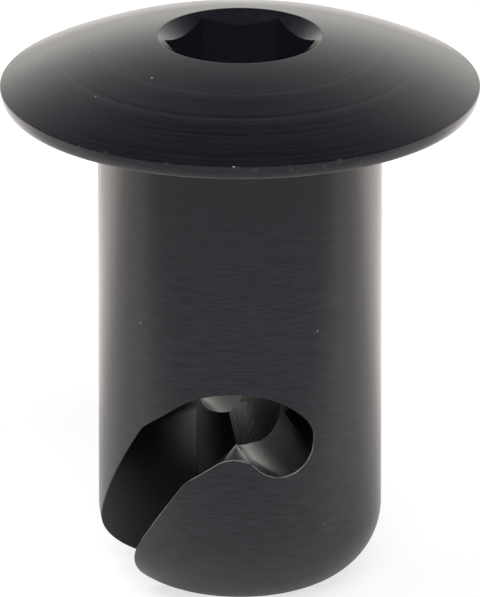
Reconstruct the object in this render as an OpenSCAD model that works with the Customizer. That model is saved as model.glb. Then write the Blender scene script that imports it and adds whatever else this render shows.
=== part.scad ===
// Quarter-turn cam stud: a domed head with a hexagon socket on a plain round shank.
// A hole is drilled up the shank's axis, and a cam slot runs right across it. The slot is open at
// the shank's end, climbs to a hump and drops into a detent, where a spring wire lies across the stud.
// The origin is the centre of the head's underside, +Z is up and the front is -Y.
// Angles around the shank count from the front towards +X.

/* [Head] */
// Diameter over the rim
head_d = 18.7; // [15:0.1:24]
// Height of the rim
rim_h = 0.56; // [0.4:0.02:1.2]
// Lean of the rounded rim at its lower edge
rim_lean = 37; // [20:1:80]
// Height of the dome above the rim
dome_h = 2.26; // [1.5:0.02:3.5]

/* [Socket] */
// Hexagon size across its flats
socket_af = 5.1; // [4:0.1:5.5]
// Depth of the hexagon below the top of the dome
socket_depth = 4; // [2.5:0.1:6]
// Diameter of the countersunk mouth
mouth_d = 6.4; // [6.4:0.1:8]
// Included angle of the countersink
mouth_angle = 108; // [80:1:120]

/* [Shank] */
// Diameter of the shank
shank_d = 11.11; // [9.5:0.01:13]
// Length below the head
shank_len = 19.68; // [17.5:0.02:22]
// Radius of the rounded end
end_round = 2.9; // [1:0.05:3.5]

/* [Hole] */
// Diameter of the hole drilled up the shank's axis
bore_d = 3.4; // [3.3:0.1:4.2]
// Height of the hole above the slot
bore_over = 0.4; // [0.2:0.1:1.5]
// Included angle of the drill's point
point_angle = 118; // [90:1:140]

/* [Cam slot] */
// Width of the slot
slot_w = 2.7; // [2.2:0.01:3.2]
// Depth of the slot's centre line below the head at the top of the hump
hump_depth = 11.64; // [10:0.01:12.5]
// Turn of the hump's top from the front
hump_turn = -2.3; // [-20:0.1:20]
// Radius of the centre line over the hump
hump_r = 2.61; // [1.8:0.01:3]
// Turn of the centre line from the hump down into the detent
detent_angle = 46; // [30:1:60]
// Slope of the climb just before the hump
climb_angle = 35; // [25:1:45]
// Drop from the top of the hump to the foot of that climb
climb_drop = 1.52; // [1:0.01:2.5]
// Slope of the lead-in from the shank's end
lead_angle = 54; // [50:0.1:65]
// Broken edge around the slot
edge_break = 0.05; // [0.03:0.01:0.2]

/* [Hidden] */
$fn = 96;
black = "#1c1c1f";

// Head levels, and the sphere of the dome through its top and the rim
head_top = rim_h + dome_h;
head_r = head_d / 2;
rim_r = rim_h / sin(rim_lean);
dome_r = (head_r ^ 2 + dome_h ^ 2) / (2 * dome_h);
dome_c = head_top - dome_r;
mouth_z = dome_c + sqrt(dome_r ^ 2 - (mouth_d / 2) ^ 2);
mouth_deep = mouth_d / 2 / tan(mouth_angle / 2);
clear = 1;

// Hole, which reaches above the top of the slot
shank_r = shank_d / 2;
slot_r = slot_w / 2;
bore_r = bore_d / 2;
bore_top = -hump_depth + slot_r + bore_over;
point_h = bore_r / tan(point_angle / 2);

// Centre line of the slot, laid out flat on the shank's surface
hump_c = -hump_depth - hump_r;
climb_x = hump_r * sin(climb_angle);
climb_z = hump_c + hump_r * cos(climb_angle);
lead_z = -hump_depth - climb_drop;
lead_x = climb_x + (climb_z - lead_z) / tan(climb_angle);
entry_z = -shank_len - slot_r - clear / 4;
entry_x = lead_x + (lead_z - entry_z) / tan(lead_angle);
turn = 180 / (PI * shank_r);
t_entry = hump_turn - entry_x * turn;
t_detent = hump_turn + hump_r * sin(detent_angle) * turn;

// Grid of one arm of the slot: steps along the path, across the path's ends and out from inside the hole
path_n = 44;
rise_n = 32;
end_n = 12;
out_n = 4;
reach_n = 30;
side_n = path_n + end_n + 1;
levels = out_n + 1;
inner_r = (slot_r + bore_r) / 2;

// Height of the slot's centre line at an angle around the shank
function path_z(t) =
    let (x = (t - hump_turn) / turn)
    x > -climb_x ? hump_c + sqrt(max(0, hump_r ^ 2 - x ^ 2)) :
    x > -lead_x ? climb_z + (x + climb_x) * tan(climb_angle) :
    lead_z + (x + lead_x) * tan(lead_angle);

// Angle of a step along the path, with the steps closing up at the detent
function path_t(j) = t_entry + (t_detent - t_entry) * sin(90 * j / path_n);

// The slot is as wide as its cutter, and flares at the shank's surface to break the edge
function cut_r(r) = slot_r + max(0, r - shank_r + edge_break);
function half_span(r) = asin(min(1, cut_r(r) / r));

// Places along the path from where the cutter reaches a point at radius r and angle p
function reach(r, p) =
    let (a = half_span(r), lo = max(t_entry, p - a), hi = min(t_detent, p + a))
    [for (k = [0 : reach_n]) lo + (hi - lo) * k / reach_n];
function rise(r, p, t) = sqrt(max(0, cut_r(r) ^ 2 - (r * sin(p - t)) ^ 2));
function roof_z(r, p) = max([for (t = reach(r, p)) path_z(t) + rise(r, p, t)]);
function floor_z(r, p) = min([for (t = reach(r, p)) path_z(t) - rise(r, p, t)]);

function polar(r, p, z) = [r * sin(p), -r * cos(p), z];

// Radius of a level: even steps out to the broken edge, then one beyond the shank
function level_r(i) =
    i > out_n ? shank_r + clear : inner_r + (shank_r - edge_break - inner_r) * i / out_n;

// Angle where the floor of the slot is highest, at each level
crest_window = [for (p = [hump_turn - 25 : 0.25 : hump_turn + 20]) p];
function crest_p(r) =
    let (heights = [for (p = crest_window) floor_z(r, p)])
    crest_window[search(max(heights), heights)[0]];
crests = [for (i = [0 : levels]) crest_p(level_r(i))];

// Angles of the grid's columns on the roof: along the path's side, then across the detent
function roof_p(r, j) =
    j <= path_n ? path_t(j) - half_span(r) :
    t_detent + half_span(r) * (2 * sin(90 * (j - path_n) / (end_n + 1)) - 1);

// Angles of the columns on the floor: across the entry, up to the hump's crest, then down to the detent
function floor_p(i, j) =
    let (a = half_span(level_r(i)), k = j - end_n - 1, start = t_entry + a, end = t_detent + a)
    k <= 0 ? start + 2 * a * k / (end_n + 1) :
    k <= rise_n ? start + (crests[i] - start) * sin(90 * k / rise_n) :
    crests[i] + (end - crests[i]) * (k - rise_n) / (path_n - rise_n);

// Points of the roof, then those of the floor, whose two ends are the roof's
function roof_points() =
    [for (i = [0 : levels], j = [0 : side_n])
        let (r = level_r(i), p = roof_p(r, j))
        polar(r, p, roof_z(r, p))];
function floor_points() =
    [for (i = [0 : levels], j = [1 : side_n - 1])
        let (r = level_r(i), p = floor_p(i, j))
        polar(r, p, floor_z(r, p))];
roof_n = (levels + 1) * (side_n + 1);
function roof_i(i, j) = i * (side_n + 1) + j;
function floor_i(i, j) =
    j == 0 || j == side_n ? roof_i(i, j) : roof_n + i * (side_n - 1) + j - 1;

// Two triangles of a four-sided patch, leaving out one that has shrunk to a line
function patch(a, b, c, d) = [if (a != b && b != c) [a, b, c], if (c != d && d != a) [a, c, d]];

// Roof, floor, and the walls that close the arm inside the hole and beyond the shank
arm_faces = [
    for (i = [0 : levels - 1], j = [0 : side_n - 1])
        each patch(roof_i(i, j), roof_i(i, j + 1), roof_i(i + 1, j + 1), roof_i(i + 1, j)),
    for (i = [0 : levels - 1], j = [0 : side_n - 1])
        each patch(floor_i(i, j), floor_i(i + 1, j), floor_i(i + 1, j + 1), floor_i(i, j + 1)),
    for (j = [0 : side_n - 1])
        each patch(roof_i(levels, j), roof_i(levels, j + 1), floor_i(levels, j + 1), floor_i(levels, j)),
    for (j = [0 : side_n - 1])
        each patch(roof_i(0, j), floor_i(0, j), floor_i(0, j + 1), roof_i(0, j + 1))
];

// Space swept on one side of the shank by a cutter that points at the axis
module slot_arm() {
    polyhedron(concat(roof_points(), floor_points()), arm_faces);
}

// The slot's two arms, half a turn apart
module cam_slot() {
    slot_arm();
    rotate(180) slot_arm();
}

// Drilled hole, open at the shank's end
module axial_hole() {
    translate([0, 0, -shank_len - clear])
        cylinder(h = bore_top + shank_len + clear, r = bore_r);
    translate([0, 0, bore_top])
        cylinder(h = point_h, r1 = bore_r, r2 = 0);
}

// Half section of the head, standing on the seat plane
module head_section() {
    intersection() {
        translate([0, dome_c]) circle(dome_r);
        square([head_r, head_top]);
        union() {
            square([head_r - rim_r, head_top]);
            translate([0, rim_h]) square([head_r, dome_h]);
            translate([head_r - rim_r, rim_h]) circle(rim_r);
        }
    }
}

// Half section of the shank, with its rounded end
module shank_section() {
    translate([0, -shank_len + end_round]) square([shank_r, shank_len - end_round]);
    translate([0, -shank_len]) square([shank_r - end_round, end_round]);
    intersection() {
        translate([shank_r - end_round, -shank_len + end_round]) circle(end_round);
        translate([shank_r - end_round, -shank_len]) square(end_round);
    }
}

// Hexagon for the key, with a countersunk mouth
module key_socket() {
    translate([0, 0, head_top - socket_depth])
        cylinder(h = socket_depth + clear, r = socket_af / 2 / cos(30), $fn = 6);
    translate([0, 0, mouth_z - mouth_deep])
        cylinder(h = mouth_deep * 1.5, r1 = 0, r2 = mouth_d * 0.75);
}

module stud() {
    color(black) difference() {
        rotate_extrude() union() {
            head_section();
            shank_section();
        }
        key_socket();
        axial_hole();
        cam_slot();
    }
}

stud();
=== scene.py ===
import math

import bpy
import numpy as np
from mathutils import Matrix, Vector


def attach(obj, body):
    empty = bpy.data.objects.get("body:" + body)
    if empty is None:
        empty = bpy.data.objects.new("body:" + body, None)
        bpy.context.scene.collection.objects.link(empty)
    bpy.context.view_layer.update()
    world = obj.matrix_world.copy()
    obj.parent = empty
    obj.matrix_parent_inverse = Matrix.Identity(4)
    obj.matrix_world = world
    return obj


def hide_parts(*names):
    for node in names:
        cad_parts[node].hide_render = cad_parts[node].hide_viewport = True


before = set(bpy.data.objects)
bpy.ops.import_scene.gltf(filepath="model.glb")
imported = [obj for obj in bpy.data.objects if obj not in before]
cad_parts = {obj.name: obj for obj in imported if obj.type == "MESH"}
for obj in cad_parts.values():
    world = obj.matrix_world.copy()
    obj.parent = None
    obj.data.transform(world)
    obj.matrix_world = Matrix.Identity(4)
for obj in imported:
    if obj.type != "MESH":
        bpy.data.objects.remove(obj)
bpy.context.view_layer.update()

# All lengths of the stud are in millimetres until its mesh is made
MM = 0.001

# Head
HEAD_R = 9.345
RIM_H = 0.56
RIM_LEAN = 37
RIM_R = RIM_H / math.sin(math.radians(RIM_LEAN))
DOME_H = 2.26
HEAD_TOP = RIM_H + DOME_H
DOME_R = (HEAD_R**2 + DOME_H**2) / (2 * DOME_H)
DOME_C = HEAD_TOP - DOME_R

# Socket
SOCKET_AF = 5.1
SOCKET_DEPTH = 4.0
MOUTH_R = 3.2
MOUTH_ANGLE = 108
MOUTH_SLOPE = math.radians(90 - MOUTH_ANGLE / 2)

# Shank
SHANK_R = 5.555
SHANK_LEN = 19.68
END_ROUND = 2.9

# Hole drilled up the axis
BORE_R = 1.7
BORE_TOP = -9.89
POINT_ANGLE = 118
POINT_H = BORE_R / math.tan(math.radians(POINT_ANGLE / 2))

# Rounded edges of the turned section: radius and steps
MOUTH_SOFT = (0.06, 5)
RIM_SOFT = (0.03, 5)
SEAT_SOFT = (0.03, 4)
ROOT_SOFT = (0.08, 3)
BORE_SOFT = (0.05, 3)

# Cam slot, laid out on the shank's surface
SLOT_R = 1.35
HUMP_DEPTH = 11.64
HUMP_TURN = math.radians(-2.3)
HUMP_R = 2.61
DETENT_ANGLE = math.radians(46)
CLIMB_ANGLE = math.radians(35)
CLIMB_DROP = 1.52
LEAD_ANGLE = math.radians(54)
CLEAR = 1.0
HUMP_C = -HUMP_DEPTH - HUMP_R
CLIMB_X = HUMP_R * math.sin(CLIMB_ANGLE)
CLIMB_Z = HUMP_C + HUMP_R * math.cos(CLIMB_ANGLE)
LEAD_Z = -HUMP_DEPTH - CLIMB_DROP
LEAD_X = CLIMB_X + (CLIMB_Z - LEAD_Z) / math.tan(CLIMB_ANGLE)
ENTRY_Z = -SHANK_LEN - SLOT_R - CLEAR / 4
ENTRY_X = LEAD_X + (LEAD_Z - ENTRY_Z) / math.tan(LEAD_ANGLE)
T_ENTRY = HUMP_TURN - ENTRY_X / SHANK_R
T_DETENT = HUMP_TURN + HUMP_R * math.sin(DETENT_ANGLE) / SHANK_R

# Rounded edge of the slot: its radius, the share of it where the flare begins, and the flare's slope
EDGE = 0.05
EDGE_END = 0.06
FLARE = 0.6

# Fineness of the turned blank, and how far its even steps keep from the ends
TURN_STEPS = 288
DOME_N = 64
DOME_INSET = (0.1, 0.06)
CONE_R = 1.5
SIDE_FROM = -3
SIDE_N = 18
WALL_N = 14
WALL_INSET = (1.0, 0.5)
ROUND_N = 22

# Fineness of the slot
PATH_N = 150
RISE_N = 100
END_N = 60
OUT_N = 36
EDGE_N = 4
EDGE_LAST = 0.6
REACH_N = 161
CREST_N = 1801
CREST_SPAN = (-25, 20)

# Angle above which an edge stays sharp
SHARP = math.radians(9)

# How near to the turned section, the hole, the slot's edges and the rim's lower edge a face counts as theirs
NEAR = 0.02
TOUCH = 0.002
EDGE_NEAR = 0.005
END_NEAR = 0.1
# Slot edges that face further down than this get no painted highlight
FACING_DOWN = -0.15
RIM_EDGE_IN = 0.25
RIM_EDGE_Z = (-0.01, 0.07)
TINY = 1e-12

# Camera, in metres, radians and pixels
TARGET_Z = -8.3717 * MM
CAMERA_FAR = 488.11 * MM
CAMERA_UP = math.radians(20.894)
FOCAL_PX = 12463.75
IMAGE_LONG = 597
SENSOR = 36.0
CLIP_NEAR = 0.01
CLIP_FAR = 20

# Marks of the lathe and the cutter: how many in a metre, their depth, and where the head's rings take over
PLAIN = 1.0
RICH = 2.0
RING_MARKS = 5200.0
BROAD_MARKS = 1400.0
RING_SHARE = 0.4
STREAKS = (1100.0, 12500.0)
FEED_MARKS = 4500.0
FEED_DEPTH = 7.0
MARK_DEPTH = 0.8e-6
HEAD_SPAN = (-0.2 * MM, 0)
HEAD_SHARE = (0.1, 0.88)
HEAD_MARKS = (0.36, 0.64)

# Colours of the black film, and of the two deeper rings on the dome
FILM_MARKS = (0.42, 0.58)
DARK_FILM = (0.0007, 0.0009, 0.0035, 1)
PALE_FILM = (0.0155, 0.015, 0.021, 1)
DEEP_RINGS = (5.45, 6.95)
DEEP_WIDTH = (0.09 * MM, 0.02 * MM)
DEEP_SHARE = (0.0, 0.55)
RING_FILM = (0.025, 0.024, 0.03, 1)
SLOT_FILM = (0.007, 0.0064, 0.0095, 1)
# Painted light: the socket's milled film is paler, standing in for light from the front and top
SOCKET_LIT_FILM = (0.015, 0.0141, 0.0207, 1)
SOCKET_SPAN = (-3 * MM, -2 * MM)

# Shine of the film
FILM_IOR = 1.8
TURNED_SHINE = 0.5
MILLED_SHINE = 0.31
GLOSS = (0.16, 0.2)
CLOUD_MARKS = 400.0
CLOUD_SPAN = (0.3, 0.7)
MILLED_GLOSS = 0.07
BORE_GLOSS = 0.4

# Specks of dust, wear along the rim, bare metal with painted highlight on the edges of the slot, and painted
# highlight below the rim
DUST_CELLS = 900.0
DUST_SIZE = 0.04
DUST_SHARE = 1.07
DUST = (0.28, 0.28, 0.27, 1)
WEAR_FROM = 9.27
WEAR_MARKS = 3800.0
WEAR_SPAN = (0.58, 0.76)
WEAR = (0.057, 0.057, 0.055, 1)
EDGE_MARKS = 1500.0
EDGE_SPAN = (0.35, 0.6)
EDGE_SHARE = (0.25, 1)
EDGE_METAL_AND_HIGHLIGHT = (0.26, 0.257, 0.245, 1)
# Share of the pale tint on the rim's lower edge, a painted highlight
RIM_HIGHLIGHT = 0.38

# Floor: its tones from front to back in metres, darker in front and paler behind as painted light; its glow
# in the mirror, and its shade under the stud
FLOOR_SIZE = 6
FLOOR_ROUGH = 0.9
FLOOR_SPAN = (-0.04, 0.16)
FLOOR_LIGHT_TONES = ((0.0, (0.2, 0.192, 0.21)), (0.1, (0.21, 0.203, 0.22)), (0.145, (0.3, 0.287, 0.3)),
         (0.172, (0.39, 0.375, 0.38)), (0.216, (0.39, 0.372, 0.372)), (0.264, (0.5, 0.475, 0.465)),
         (0.304, (0.72, 0.68, 0.655)), (0.34, (0.84, 0.795, 0.765)), (0.6, (0.65, 0.625, 0.6)))
FLOOR_GLOW = 0.75
FLOOR_WHITE = (1.1, 1.1, 1.1)
FLOOR_SHADE = (0.002, 0.008)
SHADE_BACK = 0.0025

# Surroundings: the backdrop's tones upwards, its lean and spread to the sides, the room and its window
BACKDROP = ((0.2, (1.08, 1.06, 1.0)), (0.454, (0.6, 0.61, 0.59)), (0.588, (0.355, 0.36, 0.36)),
            (0.695, (0.25, 0.255, 0.255)), (0.78, (0.175, 0.18, 0.18)), (0.89, (0.08, 0.085, 0.09)),
            (1.0, (0.01, 0.012, 0.015)))
BACKDROP_LEAN = -0.13
BACKDROP_TURN = (0.25, 0.7)
ROOM = (0.03, 0.03, 0.03, 1)
WINDOW = (0.5, 0.5, 0.49, 1)
WINDOW_TURN = (-0.3, -0.6)
WINDOW_UP = (0.45, 0.75)

# Soft lamps: name, place in metres and power in watts
LAMP_WIDE = 0.6
LAMP_HIGH = 0.5
LAMPS = (("softbox_front", (0.1, -0.44, 0.5), 3.1),
         ("softbox_left", (-0.32, 0.03, 0.63), 2.7),
         ("softbox_right", (0.22, 0.2, 0.68), 0.8))


def mesh_object(name, points, faces):
    """A mesh object from points in millimetres."""
    mesh = bpy.data.meshes.new(name)
    mesh.from_pydata((np.asarray(points, float) * MM).tolist(), [], faces)
    mesh.update()
    obj = bpy.data.objects.new(name, mesh)
    bpy.context.scene.collection.objects.link(obj)
    return obj


def arc(centre, radius, start, end, steps):
    """Points of an arc in the section, from one angle to another in degrees."""
    angles = np.radians(np.linspace(start, end, steps + 1))
    return [(centre[0] + radius * math.cos(a), centre[1] + radius * math.sin(a)) for a in angles]


def softened(before, corner, after, radius, steps):
    """Points that round a corner of the section off."""
    a, c, b = (np.asarray(p, float) for p in (before, corner, after))
    u = (a - c) / np.linalg.norm(a - c)
    v = (b - c) / np.linalg.norm(b - c)
    half = math.acos(np.clip(u @ v, -1, 1)) / 2
    reach = radius / math.tan(half)
    middle = c + (u + v) / np.linalg.norm(u + v) * radius / math.sin(half)
    start = c + u * reach - middle
    end = c + v * reach - middle
    points = []
    for k in np.linspace(0, 1, steps + 1):
        d = start * (1 - k) + end * k
        points.append(tuple(middle + d / np.linalg.norm(d) * radius))
    return points


def dome_point(r):
    """Point of the dome at a radius."""
    return (r, DOME_C + math.sqrt(DOME_R**2 - r**2))


def turned_section():
    """Half section of the turned blank, from the socket's cone out over the head and down the shank."""
    mouth = dome_point(MOUTH_R)
    apex = (0.0, mouth[1] - MOUTH_R * math.tan(MOUTH_SLOPE))
    rim = (HEAD_R, RIM_H)
    side = arc((HEAD_R - RIM_R, RIM_H), RIM_R, SIDE_FROM, -RIM_LEAN, SIDE_N)
    root = (SHANK_R, 0.0)
    end = (SHANK_R, -SHANK_LEN)
    dome = [dome_point(r) for r in np.linspace(MOUTH_R + DOME_INSET[0], HEAD_R - DOME_INSET[1], DOME_N)]
    wall = np.linspace(WALL_INSET[0], SHANK_LEN - END_ROUND - WALL_INSET[1], WALL_N)
    points = [apex, (CONE_R, apex[1] + CONE_R * math.tan(MOUTH_SLOPE))]
    points += softened(apex, mouth, dome[0], *MOUTH_SOFT)
    points += dome
    points += softened(dome[-1], rim, side[0], *RIM_SOFT)
    points += side[:-2]
    points += softened(side[-3], side[-1], root, *SEAT_SOFT)
    points += softened(side[-1], root, end, *ROOT_SOFT)
    points += [(SHANK_R, -z) for z in wall]
    points += arc((SHANK_R - END_ROUND, -SHANK_LEN + END_ROUND), END_ROUND, 0, -90, ROUND_N)
    points += softened(points[-1], (BORE_R, -SHANK_LEN), (BORE_R, BORE_TOP), *BORE_SOFT)
    points.append((BORE_R, BORE_TOP))
    points.append((0.0, BORE_TOP + POINT_H))
    return points


def turned_blank():
    """The head and shank before the socket and the slot are cut."""
    section = turned_section()
    rings = section[1:-1]
    n = TURN_STEPS
    angles = np.arange(n) * 2 * math.pi / n
    points = [(0.0, 0.0, section[0][1]), (0.0, 0.0, section[-1][1])]
    for r, z in rings:
        points += [(r * math.sin(a), -r * math.cos(a), z) for a in angles]
    last = 2 + (len(rings) - 1) * n
    faces = [(0, 2 + k, 2 + (k + 1) % n) for k in range(n)]
    faces += [(1, last + (k + 1) % n, last + k) for k in range(n)]
    for i in range(len(rings) - 1):
        a = 2 + i * n
        b = a + n
        faces += [(a + k, b + k, b + (k + 1) % n, a + (k + 1) % n) for k in range(n)]
    return mesh_object("stud_body", points, faces)


def key_cutter():
    """The hexagon for the key."""
    corners = [(math.cos(a), math.sin(a)) for a in np.radians(np.arange(0, 360, 60))]
    r = SOCKET_AF / 2 / math.cos(math.radians(30))
    low = HEAD_TOP - SOCKET_DEPTH
    high = HEAD_TOP + CLEAR
    points = [(r * x, r * y, low) for x, y in corners]
    points += [(r * x, r * y, high) for x, y in corners]
    faces = [tuple(range(5, -1, -1)), tuple(range(6, 12))]
    faces += [(k, (k + 1) % 6, 6 + (k + 1) % 6, 6 + k) for k in range(6)]
    return mesh_object("key_cutter", points, faces)


def path_z(t):
    """Height of the slot's centre line at an angle around the shank."""
    x = (np.asarray(t, float) - HUMP_TURN) * SHANK_R
    hump = HUMP_C + np.sqrt(np.maximum(0, HUMP_R**2 - x**2))
    climb = CLIMB_Z + (x + CLIMB_X) * math.tan(CLIMB_ANGLE)
    lead = LEAD_Z + (x + LEAD_X) * math.tan(LEAD_ANGLE)
    return np.where(x > -CLIMB_X, hump, np.where(x > -LEAD_X, climb, lead))


def path_t(j):
    """Angle of a step along the path, with the steps closing up at the detent."""
    return T_ENTRY + (T_DETENT - T_ENTRY) * np.sin(np.pi / 2 * np.asarray(j, float) / PATH_N)


def cut_r(r):
    """Half width of the slot, which flares at the shank's surface to round the edge off."""
    deep = np.clip((SHANK_R - r) / EDGE, EDGE_END, 1)
    rounding = EDGE * (1 - np.sqrt(np.maximum(0, 1 - (1 - deep) ** 2)))
    return SLOT_R + rounding + FLARE * np.maximum(0, r - SHANK_R + EDGE_END * EDGE)


def half_span(r):
    """Half of the angle that the cutter takes up at a radius."""
    return np.arcsin(np.minimum(1, cut_r(r) / r))


def wall_z(r, p, side):
    """Height of the slot's roof (side 1) or floor (side -1)."""
    r, p = np.broadcast_arrays(np.asarray(r, float), np.asarray(p, float))
    a = half_span(r)
    low = np.maximum(T_ENTRY, p - a)
    high = np.minimum(T_DETENT, p + a)
    t = low[..., None] + (high - low)[..., None] * np.linspace(0, 1, REACH_N)
    across = r[..., None] * np.sin(p[..., None] - t)
    rise = np.sqrt(np.maximum(0, cut_r(r)[..., None] ** 2 - across**2))
    return side * np.max(side * path_z(t) + rise, axis=-1)


def levels():
    """Radii of the slot's rows: from inside the hole, through the rounded edge, and beyond the shank."""
    rows = list(np.linspace((SLOT_R + BORE_R) / 2, SHANK_R - EDGE, OUT_N + 1))
    for k in range(1, EDGE_N + 1):
        rows.append(SHANK_R - EDGE * (1 - math.sin(math.pi / 2 * k / (EDGE_N + EDGE_LAST))))
    rows.append(SHANK_R + CLEAR)
    return rows


def polar(r, p, z):
    """Points at a radius, an angle from the front and a height."""
    return np.stack([r * np.sin(p), -r * np.cos(p), z], axis=-1)


def roof_columns(r):
    """Columns along the path's upper side, then across the detent."""
    a = half_span(r)
    along = path_t(np.arange(PATH_N + 1)) - a
    across = T_DETENT + a * (2 * np.sin(np.pi / 2 * np.arange(1, END_N + 2) / (END_N + 1)) - 1)
    return np.concatenate([along, across])


def crest(r):
    """Angle where the slot's floor is highest."""
    window = HUMP_TURN + np.radians(np.linspace(*CREST_SPAN, CREST_N))
    return window[np.argmax(wall_z(r, window, -1))]


def floor_columns(r):
    """Columns across the entry, up to the hump's crest and down to the detent."""
    a = half_span(r)
    start = T_ENTRY + a
    top = crest(r)
    end = T_DETENT + a
    across = T_ENTRY + a * (2 * np.arange(END_N + 1) / (END_N + 1) - 1)
    rise = start + (top - start) * np.sin(np.pi / 2 * np.arange(RISE_N + 1) / RISE_N)
    fall = top + (end - top) * np.arange(1, PATH_N - RISE_N + 1) / (PATH_N - RISE_N)
    return np.concatenate([across, rise, fall])


def band(a, b):
    """Triangles between two rows of points."""
    faces = []
    for j in range(len(a) - 1):
        face = list(dict.fromkeys((a[j], b[j], b[j + 1], a[j + 1])))
        faces += [face[:3], [face[0]] + face[2:]] if len(face) == 4 else [face]
    return faces


def slot_arm(turn):
    """Space swept on one side of the shank by a cutter that points at the axis."""
    points = []
    roof = []
    floor = []

    def add(r, p, side):
        block = polar(r, p + turn, wall_z(r, p, side)).tolist()
        points.extend(block)
        return list(range(len(points) - len(block), len(points)))

    for r in levels():
        roof.append(add(r, roof_columns(r), 1))
        middle = add(r, floor_columns(r)[1:-1], -1)
        floor.append([roof[-1][0]] + middle + [roof[-1][-1]])

    faces = []
    for low, high in zip(roof[:-1], roof[1:]):
        faces += band(low, high)
    for low, high in zip(floor[:-1], floor[1:]):
        faces += band(high, low)
    faces += band(roof[-1], floor[-1])
    faces += band(floor[0], roof[0])
    return mesh_object("slot_arm", points, faces)


def cut(body, cutter):
    """Cuts one solid out of another."""
    step = body.modifiers.new("cut", "BOOLEAN")
    step.operation = "DIFFERENCE"
    step.solver = "EXACT"
    step.object = cutter
    bpy.context.view_layer.update()
    graph = bpy.context.evaluated_depsgraph_get()
    mesh = bpy.data.meshes.new_from_object(body.evaluated_get(graph))
    body.modifiers.clear()
    body.data = mesh
    bpy.data.objects.remove(cutter)


def off_section(section, r, z):
    """Distance of points from the turned section."""
    off = np.full(len(r), np.inf)
    for (r0, z0), (r1, z1) in zip(section[:-1], section[1:]):
        long = max((r1 - r0) ** 2 + (z1 - z0) ** 2, TINY)
        k = np.clip(((r - r0) * (r1 - r0) + (z - z0) * (z1 - z0)) / long, 0, 1)
        off = np.minimum(off, np.hypot(r - r0 - k * (r1 - r0), z - z0 - k * (z1 - z0)))
    return off


def mark_faces(mesh):
    """Marks the milled faces and the hole, the slot's edges that get bare metal with painted highlight, and
    the rim's lower edge that gets painted highlight.
    """
    count = len(mesh.polygons)
    centres = np.empty(count * 3)
    normals = np.empty(count * 3)
    mesh.polygons.foreach_get("center", centres)
    mesh.polygons.foreach_get("normal", normals)
    x, y, z = centres.reshape(-1, 3).T / MM
    r = np.hypot(x, y)
    off = off_section(turned_section(), r, z)
    bore = (r < BORE_R + NEAR) & (z < 0) & (z > -SHANK_LEN + END_NEAR)
    inside = (off > NEAR) | bore
    # Painted highlight: only slot edges that don't face down get the pale tint, mixed with bare metal
    edge = (off > TOUCH) & (r > SHANK_R - EDGE - EDGE_NEAR) & (z < 0) & (normals[2::3] > FACING_DOWN)
    # Painted highlight along the rim's lower edge
    rim_edge = (r > HEAD_R - RIM_EDGE_IN) & (z > RIM_EDGE_Z[0]) & (z < RIM_EDGE_Z[1])
    for name, share in (("cut_face", inside * 1.0), ("edge_face", edge + RIM_HIGHLIGHT * rim_edge)):
        attribute = mesh.attributes.new(name, "FLOAT", "FACE")
        attribute.data.foreach_set("value", share.astype(np.float32))


def noise(tree, dims, scale, detail, vector=None, value=None):
    """A noise texture, and its output."""
    node = tree.nodes.new("ShaderNodeTexNoise")
    node.noise_dimensions = dims
    node.inputs["Scale"].default_value = scale
    node.inputs["Detail"].default_value = detail
    if vector is not None:
        tree.links.new(vector, node.inputs["Vector"])
    if value is not None:
        tree.links.new(value, node.inputs["W"])
    return node.outputs["Fac"]


def maths(tree, kind, a, b):
    """A maths node of two sockets or numbers, and its output."""
    node = tree.nodes.new("ShaderNodeMath")
    node.operation = kind
    for socket, value in zip(node.inputs, (a, b)):
        if isinstance(value, (int, float)):
            socket.default_value = value
        else:
            tree.links.new(value, socket)
    return node.outputs[0]


def vectors(tree, kind, a, b=None):
    """A vector maths node, and its output."""
    node = tree.nodes.new("ShaderNodeVectorMath")
    node.operation = kind
    for socket, value in zip(node.inputs, (a, b)):
        if isinstance(value, tuple):
            socket.default_value = value
        elif value is not None:
            tree.links.new(value, socket)
    return node.outputs["Value"] if kind == "LENGTH" else node.outputs["Vector"]


def blend(tree, kind, factor, a, b):
    """A mix of two numbers or colours by a factor, and its output."""
    node = tree.nodes.new("ShaderNodeMix")
    node.data_type = kind
    wanted = "RGBA" if kind == "RGBA" else "VALUE"
    sockets = [k for k in node.inputs if k.type == wanted and k.name in "AB"]
    tree.links.new(factor, node.inputs["Factor"])
    for socket, value in zip(sockets, (a, b)):
        if isinstance(value, (int, float, tuple)):
            socket.default_value = value
        else:
            tree.links.new(value, socket)
    return next(k for k in node.outputs if k.type == wanted)


def spread(tree, value, low, high, to_low=0.0, to_high=1.0):
    """A number brought from one range to another, held at its ends."""
    node = tree.nodes.new("ShaderNodeMapRange")
    tree.links.new(value, node.inputs["Value"])
    for name, number in (("From Min", low), ("From Max", high), ("To Min", to_low), ("To Max", to_high)):
        node.inputs[name].default_value = number
    return node.outputs[0]


def tones(tree, value, stops):
    """A ramp of colours at places from 0 to 1, and its output."""
    node = tree.nodes.new("ShaderNodeValToRGB")
    tree.links.new(value, node.inputs["Fac"])
    steps = node.color_ramp.elements
    for k, (at, tone) in enumerate(stops):
        stop = steps[k] if k < 2 else steps.new(at)
        stop.position = at
        stop.color = (*tone, 1)
    return node.outputs["Color"]


def face_share(tree, name):
    """A share that was marked on the faces."""
    node = tree.nodes.new("ShaderNodeAttribute")
    node.attribute_name = name
    return node.outputs["Fac"]


def split_place(tree, place):
    """The three numbers of a place."""
    node = tree.nodes.new("ShaderNodeSeparateXYZ")
    tree.links.new(place, node.inputs[0])
    return node.outputs


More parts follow.
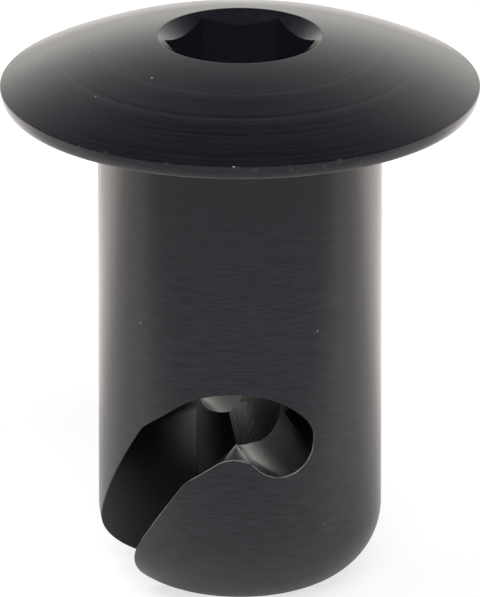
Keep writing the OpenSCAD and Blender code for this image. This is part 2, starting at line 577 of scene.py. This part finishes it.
def turning_marks(tree, around, along, on_head):
    """Heights of the lathe's marks: short streaks on the shank, rings on the head."""
    lift = tree.nodes.new("ShaderNodeCombineXYZ")
    tree.links.new(maths(tree, "MULTIPLY", along, STREAKS[1] / STREAKS[0]), lift.inputs["Z"])
    streak = noise(tree, "3D", STREAKS[0], PLAIN, vector=vectors(tree, "ADD", around, lift.outputs[0]))
    ring = maths(tree, "MULTIPLY", noise(tree, "1D", RING_MARKS, PLAIN, value=along), RING_SHARE)
    broad = maths(tree, "MULTIPLY", noise(tree, "1D", BROAD_MARKS, RICH, value=along), 1 - RING_SHARE)
    rings = spread(tree, maths(tree, "ADD", ring, broad), 0, 1, *HEAD_MARKS)
    return blend(tree, "FLOAT", on_head, streak, rings)


def cutter_marks(tree, around, place):
    """Heights of the marks that the cutter left, running towards the axis."""
    radial = vectors(tree, "ADD", around, vectors(tree, "MULTIPLY", place, (0, 0, 1)))
    return maths(tree, "MULTIPLY", noise(tree, "3D", FEED_MARKS, RICH, vector=radial), FEED_DEPTH)


def black_film(tree, marks, milled, on_head, radius, height):
    """Colour of the film: uneven over the marks, with two deeper rings, and plain where it was milled, with
    painted light making the socket's milled faces paler.
    """
    film = blend(tree, "RGBA", spread(tree, marks, *FILM_MARKS), DARK_FILM, PALE_FILM)
    for ring_r in DEEP_RINGS:
        away = maths(tree, "ABSOLUTE", maths(tree, "SUBTRACT", radius, ring_r * MM), 0.0)
        line = spread(tree, away, *DEEP_WIDTH, *DEEP_SHARE)
        film = blend(tree, "RGBA", maths(tree, "MULTIPLY", line, on_head), film, RING_FILM)
    # Painted light: the milled faces above this height, in the socket, take the paler film
    socket = spread(tree, height, *SOCKET_SPAN)
    return blend(tree, "RGBA", milled, film, blend(tree, "RGBA", socket, SLOT_FILM, SOCKET_LIT_FILM))


def film_with_wear_and_highlight(tree, film, place, radius):
    """The film with wear along the rim, bare metal with painted highlight on the slot's edges, and painted
    highlight on the rim's lower edge.
    """
    rubbed = spread(tree, noise(tree, "3D", WEAR_MARKS, RICH, vector=place), *WEAR_SPAN)
    worn = maths(tree, "MULTIPLY", maths(tree, "GREATER_THAN", radius, WEAR_FROM * MM), rubbed)
    film = blend(tree, "RGBA", worn, film, WEAR)
    # Bare metal with painted highlight on the marked edges
    bare_and_lit_patches = spread(tree, noise(tree, "3D", EDGE_MARKS, RICH, vector=place), *EDGE_SPAN, *EDGE_SHARE)
    edge = maths(tree, "MULTIPLY", face_share(tree, "edge_face"), bare_and_lit_patches)
    return blend(tree, "RGBA", edge, film, EDGE_METAL_AND_HIGHLIGHT)


def dusty(tree, film, place):
    """The film with a few specks of dust."""
    cells = tree.nodes.new("ShaderNodeTexVoronoi")
    cells.inputs["Scale"].default_value = DUST_CELLS
    tree.links.new(place, cells.inputs["Vector"])
    near = maths(tree, "LESS_THAN", cells.outputs["Distance"], DUST_SIZE)
    few = maths(tree, "GREATER_THAN", vectors(tree, "LENGTH", cells.outputs["Color"]), DUST_SHARE)
    return blend(tree, "RGBA", maths(tree, "MULTIPLY", near, few), film, DUST)


def roughness(tree, milled, place, radius):
    """Cloudy satin, a little rougher where it was milled and much rougher in the hole."""
    cloud = noise(tree, "3D", CLOUD_MARKS, RICH, vector=place)
    bore = maths(tree, "LESS_THAN", radius, (BORE_R + NEAR) * MM)
    rough = maths(tree, "MULTIPLY", milled, blend(tree, "FLOAT", bore, MILLED_GLOSS, BORE_GLOSS))
    return maths(tree, "ADD", spread(tree, cloud, *CLOUD_SPAN, *GLOSS), rough)


def anodised():
    """Black anodised aluminium: turning marks outside, marks of the cutter in the slot and socket."""
    mat = bpy.data.materials.new("black_anodised")
    mat.use_nodes = True
    tree = mat.node_tree
    shader = tree.nodes["Principled BSDF"]
    place = tree.nodes.new("ShaderNodeTexCoord").outputs["Object"]
    height = split_place(tree, place)["Z"]
    flat = vectors(tree, "MULTIPLY", place, (1, 1, 0))
    radius = vectors(tree, "LENGTH", flat)
    around = vectors(tree, "MULTIPLY", vectors(tree, "NORMALIZE", flat), (SHANK_R * MM, SHANK_R * MM, 0))
    along = maths(tree, "SUBTRACT", radius, height)
    milled = face_share(tree, "cut_face")
    on_head = spread(tree, height, *HEAD_SPAN, *HEAD_SHARE)

    turned = turning_marks(tree, around, along, on_head)
    marks = blend(tree, "FLOAT", milled, turned, cutter_marks(tree, around, place))
    bump = tree.nodes.new("ShaderNodeBump")
    bump.inputs["Strength"].default_value = 1.0
    bump.inputs["Distance"].default_value = MARK_DEPTH
    tree.links.new(marks, bump.inputs["Height"])
    tree.links.new(bump.outputs["Normal"], shader.inputs["Normal"])

    film = black_film(tree, marks, milled, on_head, radius, height)
    film = film_with_wear_and_highlight(tree, film, place, radius)
    tree.links.new(dusty(tree, film, place), shader.inputs["Base Color"])
    tree.links.new(roughness(tree, milled, place, radius), shader.inputs["Roughness"])
    shine = blend(tree, "FLOAT", milled, TURNED_SHINE, MILLED_SHINE)
    tree.links.new(shine, shader.inputs["Specular IOR Level"])
    shader.inputs["IOR"].default_value = FILM_IOR
    return mat


def floor_material():
    """Table painted grey, darker in front and paler behind as painted light. The eye sees it white, and the
    stud mirrors its greys with a painted glow and a painted shade under it.
    """
    mat = bpy.data.materials.new("floor")
    mat.use_nodes = True
    tree = mat.node_tree
    shader = tree.nodes["Principled BSDF"]
    shader.inputs["Roughness"].default_value = FLOOR_ROUGH
    shader.inputs["Specular IOR Level"].default_value = 0.0
    place = tree.nodes.new("ShaderNodeTexCoord").outputs["Object"]
    # Painted light: the table's tone rises from front to back
    light_tones = tones(tree, spread(tree, split_place(tree, place)["Y"], *FLOOR_SPAN), FLOOR_LIGHT_TONES)
    tree.links.new(light_tones, shader.inputs["Base Color"])
    rays = tree.nodes.new("ShaderNodeLightPath").outputs
    seen = rays["Is Camera Ray"]
    mirrored = maths(tree, "MAXIMUM", rays["Is Glossy Ray"], rays["Is Transmission Ray"])
    # Painted shade: the mirrored glow fades out under the stud, centred a little behind its axis
    shadow = vectors(tree, "SUBTRACT", place, (0, SHADE_BACK, 0))
    shade = spread(tree, vectors(tree, "LENGTH", shadow), *FLOOR_SHADE)
    # Painted glow, seen only in the stud's mirror
    glow = maths(tree, "MULTIPLY", maths(tree, "MULTIPLY", mirrored, shade), FLOOR_GLOW)
    tree.links.new(maths(tree, "MAXIMUM", seen, glow), shader.inputs["Emission Strength"])
    to_white = vectors(tree, "SUBTRACT", FLOOR_WHITE, light_tones)
    tree.links.new(blend(tree, "RGBA", seen, light_tones, to_white), shader.inputs["Emission Color"])
    return mat


def table():
    """The floor that the stud stands on."""
    bpy.ops.mesh.primitive_plane_add(size=FLOOR_SIZE, location=(0, 0, -SHANK_LEN * MM))
    floor = bpy.context.object
    floor.name = "floor"
    floor.data.materials.append(floor_material())


def surroundings():
    """A pale backdrop that darkens upwards, in a dark room with a window in front."""
    world = bpy.data.worlds.new("studio")
    world.use_nodes = True
    bpy.context.scene.world = world
    tree = world.node_tree
    way = split_place(tree, tree.nodes.new("ShaderNodeTexCoord").outputs["Generated"])
    up = maths(tree, "ADD", way["Z"], maths(tree, "MULTIPLY", way["X"], BACKDROP_LEAN))
    back = spread(tree, way["Y"], *BACKDROP_TURN)
    front = spread(tree, way["Y"], *WINDOW_TURN)
    window = maths(tree, "MULTIPLY", front, spread(tree, way["Z"], *WINDOW_UP))
    room = blend(tree, "RGBA", window, ROOM, WINDOW)
    light = blend(tree, "RGBA", back, room, tones(tree, up, BACKDROP))
    tree.links.new(light, tree.nodes["Background"].inputs["Color"])


def aim(obj, point):
    """Turns an object towards a point."""
    way = Vector(point) - obj.location
    obj.rotation_euler = way.to_track_quat("-Z", "Y").to_euler()


def softbox(name, location, energy):
    """A soft lamp that shines on the stud and isn't mirrored in it."""
    lamp = bpy.data.lights.new(name, "AREA")
    lamp.shape = "RECTANGLE"
    lamp.size = LAMP_WIDE
    lamp.size_y = LAMP_HIGH
    lamp.energy = energy
    light = bpy.data.objects.new(name, lamp)
    light.location = location
    bpy.context.scene.collection.objects.link(light)
    light.visible_glossy = False
    aim(light, (0, 0, TARGET_Z))


def camera():
    """The camera that was fitted to the photo."""
    data = bpy.data.cameras.new("camera")
    data.sensor_width = SENSOR
    data.lens = FOCAL_PX * SENSOR / IMAGE_LONG
    data.clip_start = CLIP_NEAR
    data.clip_end = CLIP_FAR
    obj = bpy.data.objects.new("camera", data)
    back = CAMERA_FAR * math.cos(CAMERA_UP)
    up = CAMERA_FAR * math.sin(CAMERA_UP)
    obj.location = (0, -back, TARGET_Z + up)
    obj.rotation_euler = (math.pi / 2 - CAMERA_UP, 0, 0)
    bpy.context.scene.collection.objects.link(obj)
    bpy.context.scene.camera = obj


def stud():
    """The stud: a turned blank with the socket and the slot's two arms cut out."""
    body = turned_blank()
    cut(body, key_cutter())
    cut(body, slot_arm(0.0))
    cut(body, slot_arm(math.pi))
    mesh = body.data
    mesh.polygons.foreach_set("use_smooth", [True] * len(mesh.polygons))
    mesh.set_sharp_from_angle(angle=SHARP)
    mark_faces(mesh)
    mesh.materials.clear()
    mesh.materials.append(anodised())
    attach(body, "root")
    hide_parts("stud")


stud()
table()
surroundings()
for lamp_name, lamp_place, lamp_power in LAMPS:
    softbox(lamp_name, lamp_place, lamp_power)
camera()
bpy.context.scene.view_settings.view_transform = "Standard"
